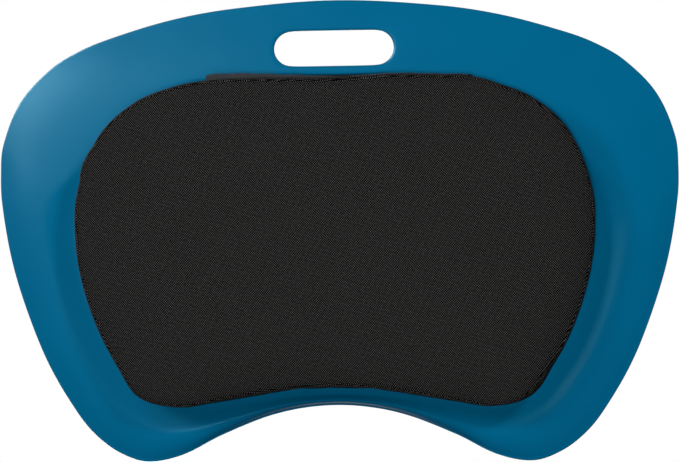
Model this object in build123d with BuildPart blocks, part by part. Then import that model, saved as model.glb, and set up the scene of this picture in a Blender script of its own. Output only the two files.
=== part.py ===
"""Lap tray with cushion: a moulded tray board on a sewn foam cushion.

The tray is drawn as it is used: +Z up, the work surface on top and the
cushion below, standing on z = 0. +Y is the side with the hand slot and
-Y the side with the cut-out for the body. The origin is at the middle
of the tray, on the plane that the cushion stands on. All lengths are in
millimetres.
"""

import os
from math import atan2, degrees

from build123d import *

# Tray board
tray_width = 508
tray_depth = 345
board_wall = 4.5
edge_round = 1.9
rim_rise = 5.5

# Hand slot near the back edge
slot_length = 90
slot_height = 26.4
slot_back_land = 23.2
slot_front_land = 3
slot_round = 1.6

# Recess under the board that takes the cushion
recess_depth = 4.5
recess_back_shoulder = 4
recess_side_gap = 6.5
recess_back_gap = 1
recess_front_gap = 4.8

# Cushion, measured over its cover
cushion_side_margin = 63.5
cushion_front_margin = 43.3
cushion_height = 44
cover_cloth = 1.2
face_seam_height = 9
back_seam_drop = 3.5

# How far the cushion's form draws in, from its face up to its back
face_flat_inset = 62
crown_inset = 30
crown_height = 1.1
shoulder_inset = 11
shoulder_height = 3.4
edge_inset = 3.5
edge_height = 6
seam_inset = 0.5
bulge_height = 15
waist_inset = 2.2
waist_height = 27
back_swell_inset = 1.2
back_swell_drop = 7
back_seam_inset = 2.6
back_inset = 7

# Tape that holds the cushion in the recess
tape_thickness = 0.8
tape_width = 22
tape_length = 150
tape_spacing = 66
tape_count = 5

# Seam threads, and the hem that closes the cover after stuffing
thread = 0.7
hem_thickness = 1.5
hem_stand_out = 3.5
hem_tucked_stand_out = 2
hem_start = -15
hem_length = 113
hem_tucked_length = 88
stitch_length = 1.4
stitch_pitch = 2.3
stitch_width = 0.8
stitch_thickness = 0.4
stitch_count = 37

# Shared by every cut that has to pass right through something
overrun = 5

os.makedirs("parts", exist_ok=True)

# Levels, worked out from the floor up
half_width = tray_width / 2
half_depth = tray_depth / 2
back_seam_height = cushion_height - back_seam_drop
recess_floor = cushion_height + tape_thickness
crest_level = recess_floor - recess_depth
rim_level = crest_level + rim_rise
lip_level = rim_level + board_wall
hem_level = face_seam_height + thread / 2

# The cushion's place, which follows from the slot and the margins
slot_y = half_depth - slot_back_land - slot_height / 2
recess_back = slot_y - slot_height / 2 - slot_front_land - recess_back_shoulder
cushion_back = recess_back - recess_back_gap
cushion_front = -half_depth + cushion_front_margin
cushion_half_width = half_width - cushion_side_margin
cushion_half_depth = (cushion_back - cushion_front) / 2
cushion_y = (cushion_back + cushion_front) / 2
recess_front = cushion_front - recess_front_gap
recess_half_width = cushion_half_width + recess_side_gap
recess_half_depth = (recess_back - recess_front) / 2
recess_y = (recess_back + recess_front) / 2

# Right half of the tray's outline, from the middle of the back edge round
# to the middle of the body cut-out, as shares of the half width and depth:
# the ends of the back arc, then the middle and end of each arc, then the
# end of the straight flank and the middle of the cut-out's arc
outline_shares = [
    (0, 1),
    (0.307, 0.97),
    (0.492, 0.924),
    (0.682, 0.843),
    (0.767, 0.792),
    (0.847, 0.72),
    (0.939, 0.577),
    (0.992, 0.391),
    (1, 0.26),
    (0.997, 0.129),
    (0.968, -0.125),
    (0.919, -0.363),
    (0.856, -0.588),
    (0.771, -0.796),
    (0.718, -0.887),
    (0.651, -0.959),
    (0.568, -0.999),
    (0.461, -0.969),
    (0.347, -0.885),
    (0, -0.756),
]

# The same points on the edge of the recess floor, as shares of its half
# width and depth about its own middle
recess_shares = [
    (0, 1),
    (0.355, 0.996),
    (0.533, 0.972),
    (0.695, 0.908),
    (0.777, 0.852),
    (0.848, 0.772),
    (0.944, 0.592),
    (0.992, 0.376),
    (1, 0.216),
    (0.997, 0.048),
    (0.975, -0.184),
    (0.929, -0.424),
    (0.873, -0.616),
    (0.802, -0.792),
    (0.759, -0.868),
    (0.708, -0.93),
    (0.619, -0.992),
    (0.523, -1),
    (0.365, -0.958),
    (0, -0.9),
]

# Where the lowest line of the underside runs at each point, as a share of
# the way from the recess floor out to the tray's edge. Behind the slot it
# keeps the named shoulder instead.
back_crest_share = recess_back_shoulder / (half_depth - recess_back)
crest_shares = [back_crest_share, back_crest_share, 0.09, 0.13, 0.2, 0.27, 0.36, 0.4]
crest_shares += [0.42] * 8
crest_shares += [0.43, 0.45, 0.5, 0.5]

# How the rim, its rounded edge and the shoulder rise: shares of the way
# out, or in for the edge, and of the rise
rim_curve_shares = [(0, 0), (0.35, 0.12), (0.7, 0.49), (1, 1)]
rim_overrun_share = (1.15, 1.32)
edge_curve_shares = [(1, 0), (0.5, 0.134), (0.134, 0.5), (0, 1)]
shoulder_curve_shares = [(0, 1), (0.16, 0.93), (0.5, 0.5), (0.84, 0.07), (1, 0)]

# Right half of the cushion's outline: the end of the straight back edge,
# then the middle and end of each arc round to the front, as shares of the
# cushion's half width and depth about its own middle
cushion_back_corner_share = (0.325, 1)
cushion_arc_shares = [
    ((0.611, 0.94), (0.766, 0.842)),
    ((0.904, 0.645), (0.99, 0.304)),
    ((1, 0.058), (0.979, -0.209)),
    ((0.924, -0.503), (0.839, -0.763)),
    ((0.753, -0.926), (0.604, -1)),
]
cushion_front_corner_share = (0.346, -0.945)
cushion_front_middle_share = (0, -0.888)


def between(start, end, share):
    """The point at a share of the way from start to end."""
    return (
        start[0] + (end[0] - start[0]) * share,
        start[1] + (end[1] - start[1]) * share,
    )


def edge_ring(inset):
    """The points of the tray's outline, drawn in by an inset."""
    return [
        ((half_width - inset) * x, (half_depth - inset) * y) for x, y in outline_shares
    ]


floor_ring = [
    (recess_half_width * x, recess_y + recess_half_depth * y) for x, y in recess_shares
]
crest_ring = [
    between(floor, edge, share)
    for floor, edge, share in zip(floor_ring, edge_ring(0), crest_shares)
]


def tray_section(height, ring):
    """A closed face at a height, its outline drawn in arcs through a ring of points."""
    mirrored = [(-x, y) for x, y in ring]
    with BuildSketch(Plane.XY.offset(height)) as section:
        with BuildLine():
            ThreePointArc(mirrored[1], ring[0], ring[1])
            for side in (ring, mirrored):
                for start in range(1, len(side) - 3, 2):
                    ThreePointArc(*side[start : start + 3])
                Line(side[-3], side[-2])
            ThreePointArc(mirrored[-2], ring[-1], ring[-2])
        make_face()
    return section.sketch


def blended_section(height, start_ring, end_ring, share):
    """A section part of the way from one ring to another."""
    return tray_section(height, [between(a, b, share) for a, b in zip(start_ring, end_ring)])


def rim_sections(lift, curve):
    """Sections of the rim's face from its crest line out to its rounded edge."""
    return [
        blended_section(
            crest_level + lift + rim_rise * up, crest_ring, edge_ring(edge_round), out
        )
        for out, up in curve
    ]


def edge_sections():
    """Sections of the tray's rounded edge from its underside up to its lip."""
    lower = [
        tray_section(rim_level + edge_round * up, edge_ring(edge_round * inward))
        for inward, up in edge_curve_shares
    ]
    upper = [
        tray_section(lip_level - edge_round * down, edge_ring(edge_round * inward))
        for inward, down in reversed(edge_curve_shares)
    ]
    return lower + upper


def shoulder_sections(lift):
    """Sections of the recess's sloping shoulder, from its floor down to the crest."""
    return [
        blended_section(
            crest_level + lift + recess_depth * up, floor_ring, crest_ring, out
        )
        for out, up in shoulder_curve_shares
    ]


def cushion_section(height, inset):
    """The cushion's outline at a height, drawn in by an inset."""
    across = cushion_half_width - inset
    along = cushion_half_depth - inset

    def place(share, side=1):
        return (side * across * share[0], cushion_y + along * share[1])

    with BuildSketch(Plane.XY.offset(height)) as section:
        with BuildLine():
            Line(place(cushion_back_corner_share, -1), place(cushion_back_corner_share))
            for side in (1, -1):
                start = cushion_back_corner_share
                for middle, end in cushion_arc_shares:
                    ThreePointArc(place(start, side), place(middle, side), place(end, side))
                    start = end
                Line(place(start, side), place(cushion_front_corner_share, side))
            ThreePointArc(
                place(cushion_front_corner_share),
                place(cushion_front_middle_share),
                place(cushion_front_corner_share, -1),
            )
        make_face()
    return section.sketch


def cushion_sections(lowest, highest, cloth=0):
    """The cushion's sections between two heights, shrunk inwards by the cloth."""
    profile = [
        (0, face_flat_inset),
        (crown_height, crown_inset),
        (shoulder_height, shoulder_inset),
        (edge_height, edge_inset),
        (face_seam_height, seam_inset),
        (bulge_height, 0),
        (waist_height, waist_inset),
        (cushion_height - back_swell_drop, back_swell_inset),
        (back_seam_height, back_seam_inset),
        (cushion_height, back_inset),
    ]
    sections = []
    for height, inset in profile:
        if lowest <= height <= highest:
            face_share = max(face_seam_height - height, 0) / face_seam_height
            back_share = max(height - back_seam_height, 0) / back_seam_drop
            level = height + cloth * (face_share - back_share)
            sections.append(cushion_section(level, cloth + inset))
    return sections


def cover_panel(lowest, highest):
    """The part of the sewn cover between two heights."""
    with BuildPart() as panel:
        loft(sections=cushion_sections(lowest, highest), ruled=True)
        loft(
            sections=cushion_sections(lowest, highest, cover_cloth),
            ruled=True,
            mode=Mode.SUBTRACT,
        )
    return panel.part


def seam_ring(height, inset, lowest, highest):
    """A line of thread lying against the cover all the way round a seam."""
    with BuildPart() as ring:
        extrude(cushion_section(height - thread / 2, inset - thread), amount=thread)
        loft(sections=cushion_sections(lowest, highest), ruled=True, mode=Mode.SUBTRACT)
    return ring.part


def hem_strip(start, length, stand_out):
    """A stretch of the folded hem along the cover's back edge."""
    with BuildPart() as strip:
        extrude(cushion_section(hem_level, seam_inset - stand_out), amount=hem_thickness)
        with BuildSketch(Plane.XY.offset(hem_level)):
            with Locations((start + length / 2, cushion_back)):
                Rectangle(length, cushion_half_depth)
        extrude(amount=hem_thickness, mode=Mode.INTERSECT)
        loft(
            sections=cushion_sections(face_seam_height, bulge_height),
            ruled=True,
            mode=Mode.SUBTRACT,
        )
    return strip.part


# Tray board: a dished plate, raised over the recess, with rounded edges
with BuildPart() as tray_board:
    loft(sections=rim_sections(0, rim_curve_shares))
    loft(sections=edge_sections())
    loft(
        sections=rim_sections(board_wall, rim_curve_shares + [rim_overrun_share]),
        mode=Mode.SUBTRACT,
    )
    loft(sections=shoulder_sections(board_wall))
    loft(sections=shoulder_sections(0), mode=Mode.SUBTRACT)
    with BuildSketch(Plane.XY.offset(crest_level - overrun)):
        with Locations((0, slot_y)):
            SlotOverall(slot_length, slot_height)
    extrude(amount=lip_level - crest_level + 2 * overrun, mode=Mode.SUBTRACT)
    slot_rims = (
        tray_board.edges()
        .filter_by_position(Axis.Y, slot_y - slot_height / 2, slot_y + slot_height / 2)
        .filter_by_position(Axis.X, -slot_length / 2, slot_length / 2)
        .filter_by(Axis.Z, reverse=True)
    )
    fillet(slot_rims, slot_round)
tray_board.part.label = "tray_board"
export_step(tray_board.part, "parts/tray_board.step")

# Foam core, cut to the inside of its cover
with BuildPart() as foam_core:
    loft(sections=cushion_sections(0, cushion_height, cover_cloth), ruled=True)
foam_core.part.label = "foam_core"
export_step(foam_core.part, "parts/foam_core.step")

# Cover, sewn from a face panel, a side band and a back panel
with BuildPart() as cushion_face_panel:
    add(cover_panel(0, face_seam_height))
cushion_face_panel.part.label = "cushion_face_panel"
export_step(cushion_face_panel.part, "parts/cushion_face_panel.step")

with BuildPart() as cushion_side_band:
    add(cover_panel(face_seam_height, back_seam_height))
cushion_side_band.part.label = "cushion_side_band"
export_step(cushion_side_band.part, "parts/cushion_side_band.step")

with BuildPart() as cushion_back_panel:
    add(cover_panel(back_seam_height, cushion_height))
cushion_back_panel.part.label = "cushion_back_panel"
export_step(cushion_back_panel.part, "parts/cushion_back_panel.step")

# Tape strips between the cushion's back and the recess floor
with BuildPart() as tape_strips:
    with BuildSketch(Plane.XY.offset(cushion_height)):
        with Locations((0, cushion_y)):
            with GridLocations(tape_spacing, 0, tape_count, 1):
                Rectangle(tape_width, tape_length)
    extrude(amount=tape_thickness)
tape_strips.part.label = "tape_strips"
export_step(tape_strips.part, "parts/tape_strips.step")

# Thread of the two seams that close the cover round its side band
with BuildPart() as face_seam_thread:
    add(seam_ring(face_seam_height, seam_inset, edge_height, bulge_height))
face_seam_thread.part.label = "face_seam_thread"
export_step(face_seam_thread.part, "parts/face_seam_thread.step")

with BuildPart() as back_seam_thread:
    add(
        seam_ring(
            back_seam_height,
            back_seam_inset,
            cushion_height - back_swell_drop,
            cushion_height,
        )
    )
back_seam_thread.part.label = "back_seam_thread"
export_step(back_seam_thread.part, "parts/back_seam_thread.step")

# Hem that closes the cover: it stands out on one half and is tucked on the other
with BuildPart() as closing_hem:
    add(hem_strip(hem_start, hem_length, hem_stand_out))
    add(hem_strip(hem_start - hem_tucked_length, hem_tucked_length, hem_tucked_stand_out))
closing_hem.part.label = "closing_hem"
export_step(closing_hem.part, "parts/closing_hem.step")

# Stitches that show on the tucked half, in a row that follows the cover's edge
stitch_stand_out = thread + (hem_tucked_stand_out - thread) / 2
row_half_width = cushion_half_width - seam_inset + stitch_stand_out
row_half_depth = cushion_half_depth - seam_inset + stitch_stand_out
row_corner = (
    -row_half_width * cushion_back_corner_share[0],
    cushion_y + row_half_depth * cushion_back_corner_share[1],
)
row_arc = [
    (-row_half_width * x, cushion_y + row_half_depth * y) for x, y in cushion_arc_shares[0]
]
with BuildLine() as stitch_row:
    Line((hem_start, row_corner[1]), row_corner)
    ThreePointArc(row_corner, *row_arc)

with BuildPart() as hem_stitches:
    with BuildSketch(Plane.XY.offset(hem_level)):
        for step in range(stitch_count):
            distance = stitch_pitch * (step + 1 / 2)
            row = stitch_row.wire()
            spot = row.position_at(distance, position_mode=PositionMode.LENGTH)
            heading = row.tangent_at(distance, position_mode=PositionMode.LENGTH)
            with Locations((spot.X, spot.Y)):
                Rectangle(
                    stitch_length, stitch_width, rotation=degrees(atan2(heading.Y, heading.X))
                )
    extrude(amount=-stitch_thickness)
hem_stitches.part.label = "hem_stitches"
export_step(hem_stitches.part, "parts/hem_stitches.step")
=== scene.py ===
"""Looks of the lap tray with cushion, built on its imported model.

The photograph shows the underside, so the camera stands below the tray and
looks up at it. Photo left is +X and photo up is +Y. Sizes are in millimetres,
or in shares of a named size where a comment says so, and every mesh is in
metres in the model's own frame. Lamps, floor and camera are placed in metres.
"""

from math import cos, hypot, pi, radians, sin

import bmesh
import bpy
from mathutils import Matrix, Vector
from mathutils.geometry import interpolate_bezier


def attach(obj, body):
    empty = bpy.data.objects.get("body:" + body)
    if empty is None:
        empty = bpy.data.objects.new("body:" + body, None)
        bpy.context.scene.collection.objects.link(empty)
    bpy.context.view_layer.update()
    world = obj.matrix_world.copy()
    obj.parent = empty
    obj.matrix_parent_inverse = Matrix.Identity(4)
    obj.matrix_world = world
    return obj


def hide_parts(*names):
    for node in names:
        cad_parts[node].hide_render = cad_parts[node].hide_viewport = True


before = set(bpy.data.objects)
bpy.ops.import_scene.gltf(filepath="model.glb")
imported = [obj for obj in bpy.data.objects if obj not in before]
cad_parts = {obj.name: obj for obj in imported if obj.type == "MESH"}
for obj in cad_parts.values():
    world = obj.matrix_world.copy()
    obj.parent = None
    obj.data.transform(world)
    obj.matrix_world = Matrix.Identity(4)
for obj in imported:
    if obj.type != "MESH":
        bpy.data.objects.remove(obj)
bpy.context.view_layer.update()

MM = 0.001

# Board: sizes shared with the model
half_width = 254
half_depth = 172.5
board_wall = 4.5
edge_round = 1.9
rim_rise = 5.5
recess_depth = 4.5
crest_level = 40.3
slot_y = 136.1
slot_half_straight = 31.8
slot_radius = 13.2
recess_half_width = 197
recess_half_depth = 124.95
recess_y = -9.05

# Right half of the board's outline, as shares of its half width and depth,
# from the middle of the back edge round to the middle of the cut-out
outline_shares = [
    (0, 1), (0.307, 0.97), (0.492, 0.924), (0.682, 0.843), (0.767, 0.792),
    (0.847, 0.72), (0.939, 0.577), (0.992, 0.391), (1, 0.26), (0.997, 0.129),
    (0.968, -0.125), (0.919, -0.363), (0.856, -0.588), (0.771, -0.796),
    (0.718, -0.887), (0.651, -0.959), (0.568, -0.999), (0.461, -0.969),
    (0.347, -0.885), (0.175, -0.789), (0, -0.756),
]

# The same points on the edge of the recess floor, about its own middle
recess_shares = [
    (0, 0.975), (0.355, 0.968), (0.515, 0.905), (0.65, 0.809), (0.706, 0.745),
    (0.761, 0.661), (0.848, 0.497), (0.919, 0.353), (0.975, 0.205), (0.997, 0.048),
    (0.975, -0.184), (0.929, -0.424), (0.873, -0.616), (0.802, -0.792),
    (0.759, -0.868), (0.708, -0.93), (0.619, -0.992), (0.523, -1),
    (0.365, -0.958), (0.185, -0.916), (0, -0.9),
]

# Where the crest runs at each point, as a share of the way out to the edge
crest_shares = [
    0.07, 0.08, 0.16, 0.2, 0.2, 0.19, 0.19, 0.24, 0.36, 0.42, 0.42, 0.42, 0.42,
    0.42, 0.42, 0.42, 0.43, 0.45, 0.5, 0.5, 0.5,
]

columns_per_span = 6

# The innermost row of the recess floor, as shares of the floor's own size
inner_floor_width = 0.95
inner_floor_depth = 0.93

# Rows over the shoulder from the recess floor to the crest: each one's share
# of the way out, and of the recess depth
shoulder_rows = [(0, 1), (0.16, 0.93), (0.5, 0.5), (0.84, 0.07), (1, 0)]

# Rows of the board's mesh across the rim, as shares of the way from the
# crest to the edge: beside the hand slot they pass round it, and elsewhere
# they are even
rows_at_slot = [0.016, 0.105, 0.203, 0.32, 0.436, 0.535, 0.623, 0.8, 0.93]
rows_elsewhere = [0.09, 0.2, 0.31, 0.42, 0.53, 0.64, 0.75, 0.87, 0.96]
bent_as_far_as = 65
even_from = 125

# Rows round the board's edge from its underside to its top: how far each one
# is drawn in, and how high it lies in the wall
edge_rows = [
    (1.9, 0), (0.75, 0.12), (0.12, 0.75), (0, 1.9),
    (0, 2.6), (0.12, 3.75), (0.75, 4.38), (1.9, 4.5),
]


def smooth_ring(half):
    """A closed ring of points on one smooth line through a half outline and its mirror."""
    keys = [Vector(p) for p in half] + [Vector((-x, y)) for x, y in half[-2:0:-1]]
    ring = []
    for i, start in enumerate(keys):
        before = keys[i - 1]
        end = keys[(i + 1) % len(keys)]
        after = keys[(i + 2) % len(keys)]
        reach = (end - start).length / 3
        leave = start + (end - before).normalized() * reach
        arrive = end - (after - start).normalized() * reach
        ring += interpolate_bezier(start, leave, arrive, end, columns_per_span + 1)[:-1]
    return ring


def edge_ring(inset):
    """The board's outline, drawn in by an inset."""
    return smooth_ring(
        [((half_width - inset) * x, (half_depth - inset) * y) for x, y in outline_shares]
    )


def blend_rings(start, end, shares):
    """The ring that lies at a share of the way between two others, column by column."""
    return [a.lerp(b, share) for a, b, share in zip(start, end, shares)]


def begin_ring(name, ring, levels):
    """Adds a closed ring of edges and opens it in edit mode, all selected."""
    bpy.ops.object.select_all(action="DESELECT")
    bpy.ops.mesh.primitive_circle_add(vertices=len(ring), radius=MM, fill_type="NOTHING")
    piece = bpy.context.object
    piece.name = name
    piece.data.name = name
    bpy.ops.object.mode_set(mode="EDIT")
    mesh = bmesh.from_edit_mesh(piece.data)
    column = mesh.verts.layers.int.new("column")
    mesh.verts.layers.int.new("row")
    mesh.verts.ensure_lookup_table()
    for i, vert in enumerate(mesh.verts):
        vert[column] = i
    place_row(piece, ring, levels, 0)
    return piece


def place_row(piece, ring, levels, row):
    """Moves the selected ring of points to its outline and levels."""
    mesh = bmesh.from_edit_mesh(piece.data)
    column_of, row_of = mesh.verts.layers.int["column"], mesh.verts.layers.int["row"]
    for vert in mesh.verts:
        if vert.select:
            point, level = ring[vert[column_of]], levels[vert[column_of]]
            vert.co = Vector((point.x, point.y, level)) * MM
            vert[row_of] = row
    bmesh.update_edit_mesh(piece.data)


def loft_rows(name, rows):
    """Extrudes a ring of edges through every row of (ring, levels)."""
    piece = begin_ring(name, *rows[0])
    for number, (ring, levels) in enumerate(rows[1:], 1):
        bpy.ops.mesh.extrude_region_move()
        place_row(piece, ring, levels, number)
    return piece


def select_edges(piece, wanted):
    """Selects the edges of a piece in edit mode that pass a test, and nothing else."""
    bpy.ops.mesh.select_mode(type="EDGE")
    bpy.ops.mesh.select_all(action="DESELECT")
    mesh = bmesh.from_edit_mesh(piece.data)
    for edge in mesh.edges:
        if wanted(edge):
            edge.select = True
    bmesh.update_edit_mesh(piece.data)


def edge_span(edge):
    """How far an edge reaches along each axis."""
    first, second = edge.verts
    return [abs(a - b) / MM for a, b in zip(first.co, second.co)]


def close_ends(piece):
    """Fills the open rings at the lower and the upper end of a piece in edit mode."""
    heights = [vert.co.z for vert in bmesh.from_edit_mesh(piece.data).verts]
    middle = (min(heights) + max(heights)) / 2
    select_edges(piece, lambda edge: edge.is_boundary and edge.verts[0].co.z < middle)
    bpy.ops.mesh.edge_face_add()
    select_edges(piece, lambda edge: edge.is_boundary)
    bpy.ops.mesh.edge_face_add()


# Board: its rows run from the recess floor over the crest and the rim to the
# edge, round that, and back over its top one wall higher
floor_ring = smooth_ring(
    [(recess_half_width * x, recess_y + recess_half_depth * y) for x, y in recess_shares]
)
outer_ring = edge_ring(0)
rim_ring = edge_ring(edge_round)
column_count = len(outer_ring)
span_shares = crest_shares + crest_shares[-2:0:-1]
crest_column_shares = []
for share, after in zip(span_shares, span_shares[1:] + span_shares[:1]):
    for step in range(columns_per_span):
        crest_column_shares.append(share + (after - share) * step / columns_per_span)
crest_ring = blend_rings(floor_ring, outer_ring, crest_column_shares)


def slot_nearness(point):
    """1 beside the hand slot, fading to 0 away from it and on the cut-out's side."""
    if point.y <= 0:
        return 0
    share = min(max((even_from - abs(point.x)) / (even_from - bent_as_far_as), 0), 1)
    return share * share * (3 - 2 * share)


inner_floor = [
    Vector((p.x * inner_floor_width, recess_y + (p.y - recess_y) * inner_floor_depth))
    for p in floor_ring
]
under_rows = [(inner_floor, [crest_level + recess_depth] * column_count)]
for share, up in shoulder_rows:
    ring = blend_rings(floor_ring, crest_ring, [share] * column_count)
    under_rows.append((ring, [crest_level + recess_depth * up] * column_count))
for at_slot, elsewhere in zip(rows_at_slot, rows_elsewhere):
    shares = [elsewhere + (at_slot - elsewhere) * slot_nearness(p) for p in rim_ring]
    levels = [crest_level + rim_rise * share * share for share in shares]
    under_rows.append((blend_rings(crest_ring, rim_ring, shares), levels))
rim_level = crest_level + rim_rise
side_rows = [(edge_ring(inset), [rim_level + up] * column_count) for inset, up in edge_rows]
top_rows = [(ring, [level + board_wall for level in levels]) for ring, levels in reversed(under_rows)]
board_rows = under_rows + side_rows + top_rows
last_row = len(board_rows) - 1
tray_board = loft_rows("tray_board_moulded", board_rows)

# Hand slot: a block of seven rows by seven columns of the mesh is moved onto
# the outline where its rounded edge starts. Rows and columns are counted in
# steps from the block's middle, and those next to it are evened out.
block_end = 3
slot_middle_row = len(shoulder_rows) + 1 + block_end
row_turn = radians(22.5)
rounding_start = 2.6
evened_columns = 8

# The crest and the edge behind the slot are parabolas: how far each has come
# forward at a place to the side of the middle
crest_at_middle, crest_forward, crest_side = 119.9, 0.8, 70.5
edge_forward, edge_side = 5.2, 78


def slot_side_point(x, side, offset):
    """A point beside the slot's straight part: side is 1 at its back and -1 at its front."""
    return Vector((x, slot_y + side * (slot_radius + offset)))


def slot_end_point(end, angle, offset):
    """A point round an end of the slot: end is 1 towards +X and -1 towards -X."""
    reach = slot_radius + offset
    return Vector((end * (slot_half_straight + reach * cos(angle)), slot_y + reach * sin(angle)))


def slot_middle_point(x):
    """The point of the slot's middle line that is nearest to x."""
    return Vector((min(max(x, -slot_half_straight), slot_half_straight), slot_y))


def slot_level(x, y, top_side):
    """The level of the board's underside or its top near the hand slot."""
    crest = crest_at_middle - crest_forward * (x / crest_side) ** 2
    edge = half_depth - edge_round - edge_forward * (x / edge_side) ** 2
    share = min(max((y - crest) / (edge - crest), 0), 1)
    return crest_level + rim_rise * share * share + (board_wall if top_side else 0)


bpy.ops.mesh.select_all(action="DESELECT")
mesh = bmesh.from_edit_mesh(tray_board.data)
column_of, row_of = mesh.verts.layers.int["column"], mesh.verts.layers.int["row"]
verts_at = {(vert[row_of], vert[column_of]): vert for vert in mesh.verts}
for top_side in (False, True):
    for row_step in range(-block_end, block_end + 2):
        row = slot_middle_row + row_step
        for column_step in range(-evened_columns, evened_columns + 1):
            vert = verts_at[(last_row - row if top_side else row, column_step % column_count)]
            if row_step > block_end or abs(column_step) > block_end:
                vert.select = row_step > -block_end
                continue
            if abs(column_step) == block_end:
                point = slot_end_point(column_step / block_end, row_turn * row_step, rounding_start)
            elif abs(row_step) == block_end:
                x = column_step / (block_end - 1) * slot_half_straight
                point = slot_side_point(x, row_step / block_end, rounding_start)
            else:
                continue
            vert.co = Vector((point.x, point.y, slot_level(point.x, point.y, top_side))) * MM
bmesh.update_edit_mesh(tray_board.data)
bpy.ops.mesh.vertices_smooth(factor=0.5, repeat=6, zaxis=False)
mesh = bmesh.from_edit_mesh(tray_board.data)
row_of = mesh.verts.layers.int["row"]
for vert in mesh.verts:
    if vert.select:
        vert.co.z = slot_level(vert.co.x / MM, vert.co.y / MM, vert[row_of] > last_row / 2) * MM

# The faces over the slot go, on both sides, and its rounded wall is drawn in:
# how far each row of it lies out from the slot's outline, and how deep
slot_edge_rows = [(1.4, 0.12), (0.62, 0.5), (0.15, 1.15), (0, 1.9)]
slot_front = slot_y - slot_radius - rounding_start
clearance = 0.2
most_of_wall = 0.8


def at_slot_rim(edge):
    """Whether an edge is on an open rim of the hand slot, behind the open recess floor."""
    return edge.is_boundary and edge.verts[0].co.y > (slot_front - 1) * MM


def on_top_side(edge):
    """Whether an edge of the slot's rims is on the tray's top, over most of the wall."""
    x, y, z = edge.verts[0].co / MM
    return z > slot_level(x, y, False) + most_of_wall * board_wall


for face in mesh.faces:
    centre = face.calc_center_median().xy / MM
    away = (centre - slot_middle_point(centre.x)).length
    face.select = away < slot_radius + rounding_start - clearance
mesh.select_flush(True)
bmesh.update_edit_mesh(tray_board.data)
bpy.ops.mesh.select_mode(type="FACE")
bpy.ops.mesh.delete(type="FACE")
for top_side in (False, True):
    select_edges(tray_board, lambda edge: at_slot_rim(edge) and on_top_side(edge) == top_side)
    inwards = -1 if top_side else 1
    depth_before = 0
    for offset, depth in slot_edge_rows:
        bpy.ops.mesh.extrude_region_move()
        mesh = bmesh.from_edit_mesh(tray_board.data)
        for vert in mesh.verts:
            if vert.select:
                middle = slot_middle_point(vert.co.x / MM)
                out = (vert.co.xy / MM - middle).normalized()
                vert.co.xy = (middle + out * (slot_radius + offset)) * MM
                vert.co.z += inwards * (depth - depth_before) * MM
        depth_before = depth
        bmesh.update_edit_mesh(tray_board.data)
select_edges(tray_board, at_slot_rim)
bpy.ops.mesh.bridge_edge_loops()

# The board is subdivided, and its recess floor closed on both sides
bpy.ops.object.mode_set(mode="OBJECT")
smooth = tray_board.modifiers.new("smooth_form", "SUBSURF")
smooth.levels = smooth.render_levels = 1
bpy.ops.object.modifier_apply(modifier=smooth.name)
bpy.ops.object.mode_set(mode="EDIT")
close_ends(tray_board)
bpy.ops.mesh.select_all(action="SELECT")
bpy.ops.mesh.normals_make_consistent(inside=False)
bpy.ops.object.mode_set(mode="OBJECT")
bpy.ops.object.shade_smooth()
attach(tray_board, "root")
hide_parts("tray_board")


# Cushion: its outline as shares of its half width and depth, then the rows
# of its cover from the face that rests on the lap up to its back, each as
# how far it draws in and its height
cushion_half_width = 190.5
cushion_half_depth = 122.05
cushion_y = -7.15
cushion_height = 44
cushion_shares = [
    (0, 0.989), (0.17, 0.991), (0.325, 0.989), (0.475, 0.974), (0.611, 0.937),
    (0.766, 0.842), (0.904, 0.645), (0.99, 0.304), (1, 0.058), (0.979, -0.209),
    (0.92, -0.503), (0.835, -0.763), (0.757, -0.936), (0.604, -0.996),
    (0.475, -0.966), (0.346, -0.932), (0.175, -0.89), (0, -0.876),
]
face_rows = [
    (62, 0.2), (46, 0.3), (34, 0.6), (25, 1.1), (18, 1.8),
    (12.5, 2.6), (8.5, 3.5), (5.5, 4.5), (3.4, 5.7), (2.1, 7),
]
face_seam_row = (1.6, 8.4)
band_rows = [
    (0.9, 8.8), (0.35, 9.8), (0.1, 11.4), (0, 14), (0, 17), (0.4, 20.4), (0.9, 24),
    (1.2, 27.5), (1, 31), (0.6, 34), (0.5, 36.5), (1, 38.3), (1.7, 39.6),
]
back_seam_row = (3.4, 40.3)
back_rows = [
    (3, 41), (3.4, 42.2), (4.8, 43.2), (7.5, 43.8), (12, 43.9),
    (20, 43.9), (34, 43.9), (50, 43.9), (66, 43.9),
]
cover_rows = face_rows + [face_seam_row] + band_rows + [back_seam_row] + back_rows
face_seam_number = len(face_rows)
back_seam_number = face_seam_number + 1 + len(band_rows)

# Places where the sewing draws the edge in, or lets it out where the depth is
# below zero: the place, how far round it that reaches, and how deep. It fades
# over a few rows on both sides of the face seam.
drawn_in = [
    (Vector((-148, -110)), 22, 3.4), (Vector((20, 114)), 62, 2.0),
    (Vector((183, 50)), 14, -2.4), (Vector((-103, 110)), 22, -1.8),
]
fading_rows = 6


def cushion_ring(inset):
    """The cushion's outline, drawn in by an inset."""
    width, depth = cushion_half_width - inset, cushion_half_depth - inset
    return smooth_ring([(width * x, cushion_y + depth * y) for x, y in cushion_shares])


def cushion_row(number):
    """A row of the cover, drawn in or let out where the sewing does so round the face seam."""
    inset, level = cover_rows[number]
    ring = cushion_ring(inset)
    ease = max(1 - abs(number - face_seam_number) / fading_rows, 0)
    centre = Vector((0, cushion_y))
    for place, reach, depth in drawn_in:
        for i, point in enumerate(ring):
            far = (point - place).length / reach
            ring[i] = point + (centre - point).normalized() * depth * ease * max(1 - far * far, 0)
    return ring, [level] * len(ring)


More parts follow.
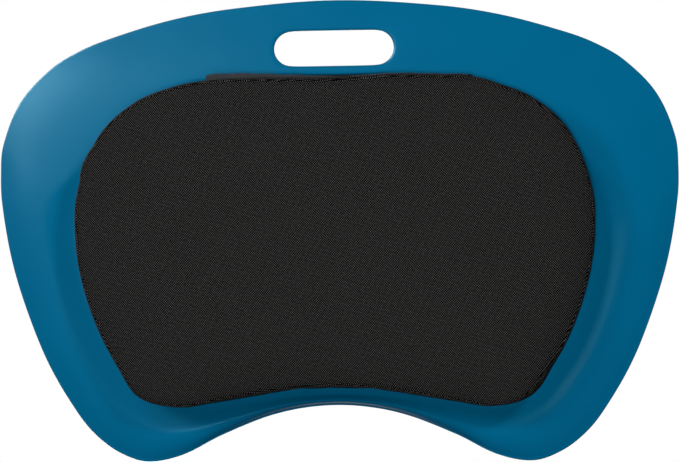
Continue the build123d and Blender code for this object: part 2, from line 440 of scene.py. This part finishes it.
cushion = loft_rows("cushion_cover", [cushion_row(number) for number in range(len(cover_rows))])
band_ring = cushion_ring(0)
half_height = cushion_height / 2 * MM
select_edges(cushion, lambda edge: edge.is_boundary and edge.verts[0].co.z < half_height)
bpy.ops.mesh.fill_grid(span=len(band_ring) // 4)
select_edges(cushion, lambda edge: edge.is_boundary)
bpy.ops.mesh.fill_grid(span=len(band_ring) // 4)
bpy.ops.mesh.select_all(action="SELECT")
bpy.ops.mesh.normals_make_consistent(inside=False)
bpy.ops.object.mode_set(mode="OBJECT")

# Its weave lies flat on the face and the back, and runs round the band, where
# a face of the last column wraps round to the first
arc = [0.0]
for start, end in zip(band_ring, band_ring[1:] + band_ring[:1]):
    arc.append(arc[-1] + (end - start).length * MM)
climb = [0.0]
for (inset, level), (next_inset, next_level) in zip(cover_rows, cover_rows[1:]):
    climb.append(climb[-1] + hypot(next_inset - inset, next_level - level) * MM)
mesh = bmesh.new()
mesh.from_mesh(cushion.data)
row_of, column_of = mesh.verts.layers.int["row"], mesh.verts.layers.int["column"]
weave = mesh.loops.layers.uv.new("weave")
for face in mesh.faces:
    rows = [vert[row_of] for vert in face.verts]
    on_band = min(rows) >= face_seam_number and max(rows) <= back_seam_number
    columns = [vert[column_of] for vert in face.verts]
    wraps = max(columns) - min(columns) > 2
    for loop in face.loops:
        at = loop.vert
        if on_band:
            round_to = len(band_ring) if wraps and at[column_of] == 0 else at[column_of]
            loop[weave].uv = (arc[round_to], climb[at[row_of]])
        else:
            loop[weave].uv = (at.co.x, at.co.y)
mesh.to_mesh(cushion.data)
mesh.free()

# The cover is blown up gently, held by its two seams and by its flat back
stuffing_pressure = 2.5
stuffing_frames = 20
farthest = 1.5 * MM
flat_back = 43.5 * MM
held = cushion.vertex_groups.new(name="held")
rows = [row.value for row in cushion.data.attributes["row"].data]
for vert, row in zip(cushion.data.vertices, rows):
    if row in (face_seam_number, back_seam_number) or vert.co.z > flat_back:
        held.add([vert.index], 1.0, "REPLACE")
unstuffed = [vert.co.copy() for vert in cushion.data.vertices]
cloth = cushion.modifiers.new("stuffing", "CLOTH")
cloth.settings.vertex_group_mass = held.name
cloth.settings.use_pressure = True
cloth.settings.uniform_pressure_force = stuffing_pressure
cloth.settings.effector_weights.gravity = 0
cloth.point_cache.frame_start = 1
cloth.point_cache.frame_end = stuffing_frames
for frame_number in range(1, stuffing_frames + 1):
    bpy.context.scene.frame_set(frame_number)
bpy.ops.object.select_all(action="DESELECT")
bpy.context.view_layer.objects.active = cushion
cushion.select_set(True)
bpy.ops.object.modifier_apply(modifier=cloth.name)
bpy.context.scene.frame_set(1)
for vert, start in zip(cushion.data.vertices, unstuffed):
    moved = vert.co - start
    if moved.length > farthest:
        vert.co = start + moved.normalized() * farthest
    vert.co.z = min(max(vert.co.z, 0), cushion_height * MM)
finer = cushion.modifiers.new("finer_cloth", "SUBSURF")
finer.levels = finer.render_levels = 1
bpy.ops.object.modifier_apply(modifier=finer.name)
bpy.ops.object.shade_smooth()
for vert in cushion.data.vertices:
    vert.co.z = max(vert.co.z, 0)
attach(cushion, "root")
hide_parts("foam_core", "cushion_face_panel", "cushion_side_band", "cushion_back_panel")

# Hem: where it starts and ends along the back edge, and how far it stands out
# from the seam at places between, tucked in on one half and open on the other
hem_start, hem_end = -103, 92
hem_level, hem_thickness = 10.4, 1.5
hem_root = -0.4
hem_cuts = 99
hem_rounding = 0.4
stand_out = [(-103, 2.2), (-30, 2.2), (-10, 2.4), (0, 3.0), (25, 4.0), (60, 4.9), (96, 5.2)]

# Its lip ripples: the height of each wave, its turn per millimetre and where
# it starts. It also rises from the root, and waves up and down.
ripples = [(0.14, 0.31, 0), (0.1, 0.74, 1)]
lip_rise, lip_wave, lip_turn = 0.5, 0.3, 0.19


def value_at(x, points):
    """The value at x on a line through points."""
    for (x0, value0), (x1, value1) in zip(points, points[1:]):
        if x <= x1:
            return value0 + (value1 - value0) * max((x - x0) / (x1 - x0), 0)
    return points[-1][1]


seam_ring = cushion_row(face_seam_number)[0]
back_edge = sorted((p.x, p.y) for p in seam_ring if p.y > cushion_half_depth / 2)

bpy.ops.object.select_all(action="DESELECT")
bpy.ops.mesh.primitive_cube_add(size=1)
hem = bpy.context.object
hem.name = hem.data.name = "closing_hem_folded"
hem.location = Vector(((hem_start + hem_end) / 2, 0.5, hem_level + hem_thickness / 2)) * MM
hem.scale = Vector((hem_end - hem_start, 1, hem_thickness)) * MM
bpy.ops.object.transform_apply(location=True, rotation=True, scale=True)
bpy.ops.object.mode_set(mode="EDIT")
select_edges(hem, lambda edge: edge_span(edge)[0] > (hem_end - hem_start) / 2)
bpy.ops.mesh.subdivide(number_cuts=hem_cuts)


def on_hem_lip(edge):
    """Whether an edge runs along the hem's lip, at its top or its bottom."""
    return min(vert.co.y for vert in edge.verts) > 0.9 * MM and edge_span(edge)[2] < 0.1


select_edges(hem, on_hem_lip)
bpy.ops.mesh.bevel(offset=hem_rounding * MM, segments=3)
bpy.ops.object.mode_set(mode="OBJECT")

# The strip is 1 mm deep so far, so that y is the share of the way to its lip
for vert in hem.data.vertices:
    x, lip_share = vert.co.x / MM, vert.co.y / MM
    ripple = sum(height * sin(x * turn + start) for height, turn, start in ripples)
    reach = value_at(x, stand_out) + ripple - hem_root
    vert.co.y = (value_at(x, back_edge) + hem_root + lip_share * reach) * MM
    vert.co.z += (lip_rise + lip_wave * sin(x * lip_turn)) * lip_share * MM
bpy.ops.object.shade_smooth_by_angle(angle=radians(50))
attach(hem, "root")
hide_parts("closing_hem")

# Stitches: length, thickness and spacing, and how their ends are rounded
seam_stitch, seam_thread_thickness, seam_pitch = 2.9, 0.9, 3.2
back_seam_proud = 0.3
hem_stitch, hem_thread_thickness, hem_pitch = 1.5, 0.7, 2.3
hem_stitch_count = 37
first_hem_stitch = -99.5
hem_stitch_out, hem_stitch_up = 1.8, 0.1
end_rounding = 0.3


def one_stitch(name, length, thickness):
    """One stitch, rounded at both ends, along X from the origin."""
    bpy.ops.object.select_all(action="DESELECT")
    bpy.ops.mesh.primitive_cylinder_add(
        vertices=6, radius=thickness / 2 * MM, depth=length * MM, rotation=(0, pi / 2, 0)
    )
    stitch = bpy.context.object
    stitch.name = stitch.data.name = name
    stitch.location.x = length / 2 * MM
    bpy.ops.object.transform_apply(location=True, rotation=True, scale=True)
    bpy.ops.object.mode_set(mode="EDIT")
    select_edges(stitch, lambda edge: edge_span(edge)[0] < 0.01)
    bpy.ops.mesh.bevel(offset=thickness * end_rounding * MM, segments=2)
    bpy.ops.object.mode_set(mode="OBJECT")
    return stitch


def repeat_stitch(stitch, count, pitch):
    """Sets copies of a stitch in a row along X."""
    repeat = stitch.modifiers.new("repeat", "ARRAY")
    repeat.count = count
    repeat.use_relative_offset = False
    repeat.use_constant_offset = True
    repeat.constant_offset_displace = (pitch * MM, 0, 0)
    bpy.ops.object.modifier_apply(modifier=repeat.name)


def sew_seam(name, ring, level):
    """A seam's stitches along a closed ring: one is modelled, then repeated and bent along it."""
    path = begin_ring(name + "_path", ring, [level] * len(ring))
    bpy.ops.object.mode_set(mode="OBJECT")
    bpy.ops.object.convert(target="CURVE")
    path = bpy.context.object
    seam = one_stitch(name, seam_stitch, seam_thread_thickness)
    around = sum((a - b).length for a, b in zip(ring, ring[1:] + ring[:1]))
    repeat_stitch(seam, int(around / seam_pitch), seam_pitch)
    bend = seam.modifiers.new("along_seam", "CURVE")
    bend.object = path
    bpy.ops.object.modifier_apply(modifier=bend.name)
    bpy.ops.object.shade_smooth()
    bpy.data.objects.remove(path)
    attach(seam, "root")
    return seam


face_seam_ring = cushion_row(face_seam_number + 1)[0]
face_seam = sew_seam("face_seam_stitching", face_seam_ring, face_seam_row[1])
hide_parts("face_seam_thread")
back_seam_ring = cushion_ring(back_seam_row[0] - back_seam_proud)
back_seam = sew_seam("back_seam_stitching", back_seam_ring, back_seam_row[1])
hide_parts("back_seam_thread")

# The hem's tucked half has its stitches along its lip
hem_stitches = one_stitch("hem_stitching", hem_stitch, hem_thread_thickness)
repeat_stitch(hem_stitches, hem_stitch_count, hem_pitch)
for vert in hem_stitches.data.vertices:
    x = vert.co.x / MM + first_hem_stitch
    vert.co.x = x * MM
    vert.co.y += (value_at(x, back_edge) + hem_stitch_out) * MM
    vert.co.z += (hem_level + hem_stitch_up) * MM
bpy.ops.object.shade_smooth()
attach(hem_stitches, "root")
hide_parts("hem_stitches")


def linear(code):
    """The linear colour of an sRGB hex code."""
    parts = [int(code[i : i + 2], 16) / 255 for i in (1, 3, 5)]
    return [p / 12.92 if p <= 0.04045 else ((p + 0.055) / 1.055) ** 2.4 for p in parts] + [1]


def add_node(tree, kind, inputs=None, **settings):
    """Adds a node with its settings, and fills or links its inputs."""
    made = tree.nodes.new(kind)
    for name, value in settings.items():
        setattr(made, name, value)
    for socket, value in (inputs or {}).items():
        if isinstance(value, bpy.types.NodeSocket):
            tree.links.new(value, made.inputs[socket])
        else:
            made.inputs[socket].default_value = value
    return made


def new_material(name):
    """A material, and its node tree, emptied."""
    material = bpy.data.materials.new(name)
    material.use_nodes = True
    material.node_tree.nodes.clear()
    return material, material.node_tree


# Several sockets of a Mix node share a name, so these are their numbers: its
# factor, its two numbers, its two colours, and the colour that comes out
mix_factor, number_a, number_b, colour_a, colour_b, mixed_colour = 0, 2, 3, 6, 7, 2

# Moulded ABS: a satin gloss, bluish as the photograph's sheen is, with slightly
# uneven polish, the fine grain of its mould and a few tiny pale nicks. A real
# mould's grain is about 0.1 mm, too fine to show, and is drawn at 1.11 mm.
polish_patch = 55.5
mould_grain = 1.11
nick_spacing = 29.4
nick_radius = 0.65
share_without_nick = 0.8
abs_blue, tree = new_material("moulded_abs_blue")
output = add_node(tree, "ShaderNodeOutputMaterial")
place = add_node(tree, "ShaderNodeTexCoord").outputs["Object"]
cloud = add_node(
    tree, "ShaderNodeTexNoise", {"Vector": place, "Scale": 1 / (polish_patch * MM), "Detail": 2.0}
)
body = add_node(
    tree,
    "ShaderNodeMix",
    {mix_factor: cloud.outputs["Fac"], colour_a: linear("#005E84"), colour_b: linear("#00638B")},
    data_type="RGBA",
)
nicks = add_node(
    tree, "ShaderNodeTexVoronoi", {"Vector": place, "Scale": 1 / (nick_spacing * MM)}
)
nick_here = add_node(
    tree,
    "ShaderNodeMath",
    {0: nicks.outputs["Distance"], 1: nick_radius / nick_spacing},
    operation="LESS_THAN",
)
nick_kind = add_node(tree, "ShaderNodeSeparateColor", {0: nicks.outputs["Color"]})
nick_chosen = add_node(
    tree,
    "ShaderNodeMath",
    {0: nick_kind.outputs[0], 1: share_without_nick},
    operation="GREATER_THAN",
)
nick = add_node(
    tree,
    "ShaderNodeMath",
    {0: nick_here.outputs[0], 1: nick_chosen.outputs[0]},
    operation="MULTIPLY",
)
colour = add_node(
    tree,
    "ShaderNodeMix",
    {
        mix_factor: nick.outputs[0],
        colour_a: body.outputs[mixed_colour],
        colour_b: linear("#6FA9C4"),
    },
    data_type="RGBA",
)
grain = add_node(
    tree, "ShaderNodeTexNoise", {"Vector": place, "Scale": 1 / (mould_grain * MM), "Detail": 2.0}
)
polish = add_node(
    tree,
    "ShaderNodeMapRange",
    {"Value": cloud.outputs["Fac"], "To Min": 0.278, "To Max": 0.31},
)
relief = add_node(
    tree,
    "ShaderNodeBump",
    {"Strength": 0.12, "Distance": 0.1 * MM, "Height": grain.outputs["Fac"]},
)
shader = add_node(
    tree,
    "ShaderNodeBsdfPrincipled",
    {
        "Base Color": colour.outputs[mixed_colour],
        "Roughness": polish.outputs["Result"],
        "IOR": 1.45,
        "Specular IOR Level": 0.4,
        "Specular Tint": linear("#9BE7FF"),
        "Normal": relief.outputs["Normal"],
    },
)
tree.links.new(shader.outputs["BSDF"], output.inputs["Surface"])
tray_board.data.materials.append(abs_blue)

# Woven polyester cover: two sets of threads cross aslant, a pale point shows
# where both are on top, and some places are paler than others. Each set's
# spacing and the angle across it are the photograph's, and coarse enough to show.
thread_sets = [(1.2602, 38.502), (1.2567, -46.375)]
uneven_patch = 1.667
woven, tree = new_material("woven_polyester_black")
output = add_node(tree, "ShaderNodeOutputMaterial")
laid = add_node(tree, "ShaderNodeUVMap", uv_map="weave").outputs["UV"]
waves = []
for spacing, angle in thread_sets:
    turns = Vector((cos(radians(angle)), sin(radians(angle)), 0)) * 2 * pi / (spacing * MM)
    across = add_node(tree, "ShaderNodeVectorMath", {0: laid, 1: turns}, operation="DOT_PRODUCT")
    wave = add_node(tree, "ShaderNodeMath", {0: across.outputs["Value"]}, operation="COSINE")
    waves.append(
        add_node(
            tree, "ShaderNodeMath", {0: wave.outputs[0], 1: 0.5, 2: 0.5}, operation="MULTIPLY_ADD"
        )
    )
points = add_node(
    tree, "ShaderNodeMath", {0: waves[0].outputs[0], 1: waves[1].outputs[0]}, operation="MULTIPLY"
)
yarn = add_node(
    tree, "ShaderNodeTexNoise", {"Vector": laid, "Scale": 1 / (uneven_patch * MM), "Detail": 0.0}
)
yarn_tone = add_node(
    tree,
    "ShaderNodeMapRange",
    {"Value": yarn.outputs["Fac"], "From Min": 0.3, "From Max": 0.7, "To Min": 0.8, "To Max": 1.2},
)
tone = add_node(tree, "ShaderNodeValToRGB", {"Fac": points.outputs[0]})
tone.color_ramp.elements[0].position = 0.55
tone.color_ramp.elements[0].color = linear("#000000")
tone.color_ramp.elements[1].position = 0.95
tone.color_ramp.elements[1].color = linear("#7E7E7E")
varied = add_node(
    tree,
    "ShaderNodeVectorMath",
    {0: tone.outputs["Color"], "Scale": yarn_tone.outputs["Result"]},
    operation="SCALE",
)
relief = add_node(
    tree, "ShaderNodeBump", {"Strength": 0.6, "Distance": 0.3 * MM, "Height": points.outputs[0]}
)
shader = add_node(
    tree,
    "ShaderNodeBsdfPrincipled",
    {
        "Base Color": varied.outputs["Vector"],
        "Roughness": 0.9,
        "Specular IOR Level": 0.0,
        "Normal": relief.outputs["Normal"],
    },
)
tree.links.new(shader.outputs["BSDF"], output.inputs["Surface"])
cushion.data.materials.append(woven)

# Hem tape: smooth plain-woven cloth, slate grey. Its tucked half is painted
# near black: painted shade for the seam's shadow that it lies in. No thread
# shows in it, so its ribs are fine and show in a close view alone. A wave
# texture turns 20 radians in a metre at scale 1.
hem_rib = 0.449
painted_shade_starts, painted_shade_full = 6, -20
hem_cloth, tree = new_material("plain_woven_hem_tape")
output = add_node(tree, "ShaderNodeOutputMaterial")
place = add_node(tree, "ShaderNodeTexCoord").outputs["Object"]
thread_rib = add_node(
    tree,
    "ShaderNodeTexWave",
    {"Vector": place, "Scale": 2 * pi / (20 * hem_rib * MM), "Distortion": 0.6},
    bands_direction="X",
)
tone = add_node(tree, "ShaderNodeValToRGB", {"Fac": thread_rib.outputs["Fac"]})
tone.color_ramp.elements[0].color = linear("#14181B")
tone.color_ramp.elements[1].color = linear("#2C2F33")
along = add_node(tree, "ShaderNodeSeparateXYZ", {0: place})
# Painted shade: from x = 6 mm to x = -20 mm the tape darkens to near black, the seam's shadow over
# its tucked half.
tucked_shade = add_node(
    tree,
    "ShaderNodeMapRange",
    {
        "Value": along.outputs["X"],
        "From Min": painted_shade_starts * MM,
        "From Max": painted_shade_full * MM,
    },
)
tone_and_shade = add_node(
    tree,
    "ShaderNodeMix",
    {
        mix_factor: tucked_shade.outputs["Result"],
        colour_a: tone.outputs["Color"],
        colour_b: linear("#07090B"),
    },
    data_type="RGBA",
)
relief = add_node(
    tree,
    "ShaderNodeBump",
    {"Strength": 0.3, "Distance": 0.1 * MM, "Height": thread_rib.outputs["Fac"]},
)
shader = add_node(
    tree,
    "ShaderNodeBsdfPrincipled",
    {
        "Base Color": tone_and_shade.outputs[mixed_colour],
        "Roughness": 0.75,
        "Specular IOR Level": 0.2,
        "Normal": relief.outputs["Normal"],
    },
)
tree.links.new(shader.outputs["BSDF"], output.inputs["Surface"])
hem.data.materials.append(hem_cloth)

# The twist of a thread 0.7 to 0.9 mm thick, and the cells of the foam tape:
# both are about as coarse as those small pieces can carry
twist_length = 0.4
foam_cell = 0.4


def thread_material(name, dark, pale):
    """Spun polyester thread: a fine mottle of two tones stands for its twist."""
    material, tree = new_material(name)
    output = add_node(tree, "ShaderNodeOutputMaterial")
    place = add_node(tree, "ShaderNodeTexCoord").outputs["Object"]
    twist = add_node(
        tree,
        "ShaderNodeTexNoise",
        {"Vector": place, "Scale": 1 / (twist_length * MM), "Detail": 1.0},
    )
    tone = add_node(tree, "ShaderNodeValToRGB", {"Fac": twist.outputs["Fac"]})
    tone.color_ramp.elements[0].color = linear(dark)
    tone.color_ramp.elements[1].color = linear(pale)
    shader = add_node(
        tree,
        "ShaderNodeBsdfPrincipled",
        {"Base Color": tone.outputs["Color"], "Roughness": 0.6, "Specular IOR Level": 0.3},
    )
    tree.links.new(shader.outputs["BSDF"], output.inputs["Surface"])
    return material


seam_thread = thread_material("spun_polyester_thread_black", "#040404", "#0E0E10")
face_seam.data.materials.append(seam_thread)
back_seam.data.materials.append(seam_thread)
hem_thread = thread_material("spun_polyester_thread_grey", "#31373D", "#4C5259")
hem_stitches.data.materials.append(hem_thread)

# Foam tape: white closed-cell foam with fine cells, hidden under the cushion
tape, tree = new_material("closed_cell_foam_tape")
output = add_node(tree, "ShaderNodeOutputMaterial")
place = add_node(tree, "ShaderNodeTexCoord").outputs["Object"]
cells = add_node(tree, "ShaderNodeTexVoronoi", {"Vector": place, "Scale": 1 / (foam_cell * MM)})
tone = add_node(tree, "ShaderNodeValToRGB", {"Fac": cells.outputs["Distance"]})
tone.color_ramp.elements[0].color = linear("#E9E9E4")
tone.color_ramp.elements[1].color = linear("#CFCFC8")
shader = add_node(
    tree, "ShaderNodeBsdfPrincipled", {"Base Color": tone.outputs["Color"], "Roughness": 0.8}
)
tree.links.new(shader.outputs["BSDF"], output.inputs["Surface"])
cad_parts["tape_strips"].data.materials.clear()
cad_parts["tape_strips"].data.materials.append(tape)

# Floor: seen from above only, so that the camera below it sees the underside.
# Paint near the tray takes its shadow, and farther out it fades into white.
floor_size = 8
paint_ends, white_from = 0.35, 1.1
bpy.ops.object.select_all(action="DESELECT")
bpy.ops.mesh.primitive_plane_add(size=floor_size)
floor = bpy.context.object
floor.name = "floor"
floor_paint, tree = new_material("pale_floor_paint")
output = add_node(tree, "ShaderNodeOutputMaterial")
geometry = add_node(tree, "ShaderNodeNewGeometry")
place = add_node(tree, "ShaderNodeTexCoord").outputs["Object"]
away = add_node(tree, "ShaderNodeVectorMath", {0: place}, operation="LENGTH")
far = add_node(
    tree,
    "ShaderNodeMapRange",
    {"Value": away.outputs["Value"], "From Min": paint_ends, "From Max": white_from},
    interpolation_type="SMOOTHSTEP",
)
paint = add_node(tree, "ShaderNodeBsdfDiffuse", {"Color": linear("#F2F2F2")})
backdrop = add_node(tree, "ShaderNodeEmission", {"Color": linear("#FFFFFF"), "Strength": 1.0})
pale_floor = add_node(
    tree,
    "ShaderNodeMixShader",
    {0: far.outputs["Result"], 1: paint.outputs["BSDF"], 2: backdrop.outputs["Emission"]},
)
clear = add_node(tree, "ShaderNodeBsdfTransparent")
one_sided = add_node(
    tree,
    "ShaderNodeMixShader",
    {0: geometry.outputs["Backfacing"], 1: pale_floor.outputs[0], 2: clear.outputs["BSDF"]},
)
tree.links.new(one_sided.outputs["Shader"], output.inputs["Surface"])
floor.data.materials.append(floor_paint)
floor.visible_diffuse = False
floor.visible_glossy = False
floor.visible_transmission = False
floor.visible_shadow = False

# Lamps: where each stands, its size and its power in watts. The two softboxes
# below the tray give the sheens on its underside, the edge strip adds one to
# the board's edge without lighting it, and the three small lamps in front
# light the underside without a sheen. The two above are for its top.
tray_middle = (0, 0, 0.04)
board_edge = (0.17, 0.1, 0.04)


def area_lamp(name, place, aim, width, height, power):
    """A soft lamp that faces a point, unseen by the camera."""
    light = bpy.data.lights.new(name, "AREA")
    light.shape = "RECTANGLE"
    light.size = width
    light.size_y = height
    light.energy = power
    lamp = bpy.data.objects.new(name, light)
    bpy.context.scene.collection.objects.link(lamp)
    lamp.location = place
    lamp.rotation_euler = (Vector(aim) - Vector(place)).to_track_quat("-Z", "Y").to_euler()
    lamp.visible_camera = False
    return lamp


edge_strip = area_lamp("edge_strip", (0.75, 0.55, -0.22), board_edge, 0.6, 0.24, 22)
edge_strip.visible_diffuse = False
area_lamp("softbox_left", (0.87, 0.5, -1.1), tray_middle, 0.34, 0.34, 6.2)
area_lamp("softbox_front", (0.62, 0.42, -1.8), tray_middle, 0.35, 0.35, 2.0)
for name, place, power in (
    ("front_top_left", (0.55, 1.05, -1.8), 7.5),
    ("front_top_right", (-0.95, 0.95, -1.65), 11.5),
    ("front_fill", (-0.05, -0.15, -2.1), 21),
):
    area_lamp(name, place, tray_middle, 0.25, 0.25, power).visible_glossy = False
area_lamp("key_above", (0.4, -0.5, 1.6), tray_middle, 1.0, 1.0, 16)
area_lamp("fill_above", (-0.5, 0.3, 1.6), tray_middle, 1.2, 1.2, 6)

# World: white to the camera. Otherwise it is a pale dome overhead, dim from
# the horizon down, and these are the heights of its directions between which
# it pales, and its strengths there.
dome_starts, dome_full = 0.5, 0.8
dim, pale = 0.03, 0.9
world = bpy.data.worlds.new("studio")
bpy.context.scene.world = world
world.use_nodes = True
tree = world.node_tree
tree.nodes.clear()
output = add_node(tree, "ShaderNodeOutputWorld")
path = add_node(tree, "ShaderNodeLightPath")
where = add_node(tree, "ShaderNodeTexCoord")
split = add_node(tree, "ShaderNodeSeparateXYZ", {0: where.outputs["Generated"]})
dome = add_node(
    tree,
    "ShaderNodeMapRange",
    {
        "Value": split.outputs["Z"],
        "From Min": dome_starts,
        "From Max": dome_full,
        "To Min": dim,
        "To Max": pale,
    },
)
strength = add_node(
    tree,
    "ShaderNodeMix",
    {mix_factor: path.outputs["Is Camera Ray"], number_a: dome.outputs["Result"], number_b: 1.0},
    data_type="FLOAT",
)
background = add_node(
    tree, "ShaderNodeBackground", {"Color": linear("#FFFFFF"), "Strength": strength.outputs[0]}
)
tree.links.new(background.outputs[0], output.inputs["Surface"])

# Camera: below the tray, looking up, a little to the photo's right. Its shift
# is given in pixels of the photograph.
view_aim = Vector((0, 0, 0.0425))
view_distance = 1.5
view_yaw = radians(4.09)
view_roll = radians(0.65)
photo_width = 679
shift_right, shift_up = 3.6, -0.3
camera_data = bpy.data.cameras.new("photo_camera")
camera_data.lens = 106.7
camera_data.sensor_width = 36
camera_data.shift_x = shift_right / photo_width
camera_data.shift_y = shift_up / photo_width
camera_data.clip_start = 0.05
camera = bpy.data.objects.new("photo_camera", camera_data)
bpy.context.scene.collection.objects.link(camera)
camera.location = view_aim + Vector((-sin(view_yaw), 0, -cos(view_yaw))) * view_distance
back = (camera.location - view_aim).normalized()
side = Vector((0, 1, 0)).cross(back).normalized()
up = back.cross(side)
turn = Matrix((side, up, back)).transposed().to_4x4()
camera.rotation_euler = (turn @ Matrix.Rotation(-view_roll, 4, "Z")).to_euler()
bpy.context.scene.camera = camera

bpy.context.scene.view_settings.view_transform = "Standard"

bpy.context.view_layer.update()
